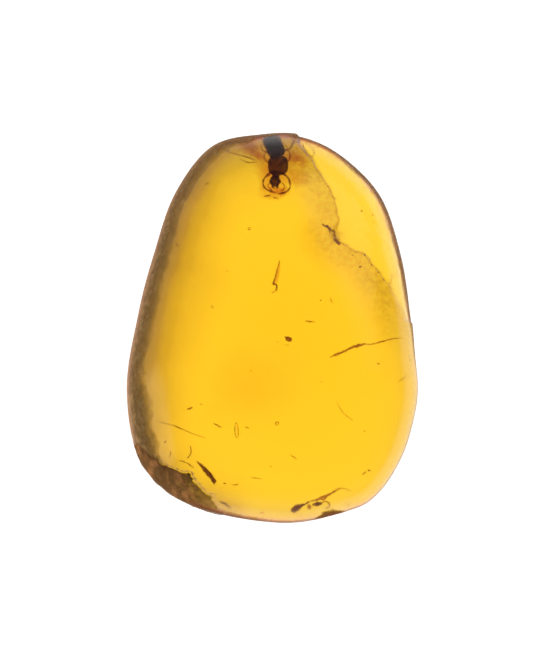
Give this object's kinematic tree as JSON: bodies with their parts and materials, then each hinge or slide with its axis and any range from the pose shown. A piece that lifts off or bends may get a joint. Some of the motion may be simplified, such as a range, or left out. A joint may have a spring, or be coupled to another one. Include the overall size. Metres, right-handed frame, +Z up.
{
  "type": "insect in amber",
  "caption": "Polished pear-shaped nugget of clear honey-yellow amber with a small dark beetle and plant scraps sealed in it.",
  "frame": {"origin": "centre of the bounding box's bottom, on the flat ground base", "axes": "+Y along the stone's length, towards its narrow end and the beetle's rear; +Z up, through its thickness"},
  "size_m": [0.018, 0.0241, 0.0085],
  "materials": {
    "amber": "polished, clear honey yellow",
    "chitin": "satin dark brown shell",
    "plant": "dull red-brown plant matter"
  },
  "bodies": {
    "root": {"amber_upper": "amber", "amber_lower": "amber", "beetle": "chitin", "wood_splinter": "plant", "plant_strand": "plant", "bark_scrap": "plant", "shed_skin": "plant", "seed_husk": "plant"}
  },
  "joints": []
}
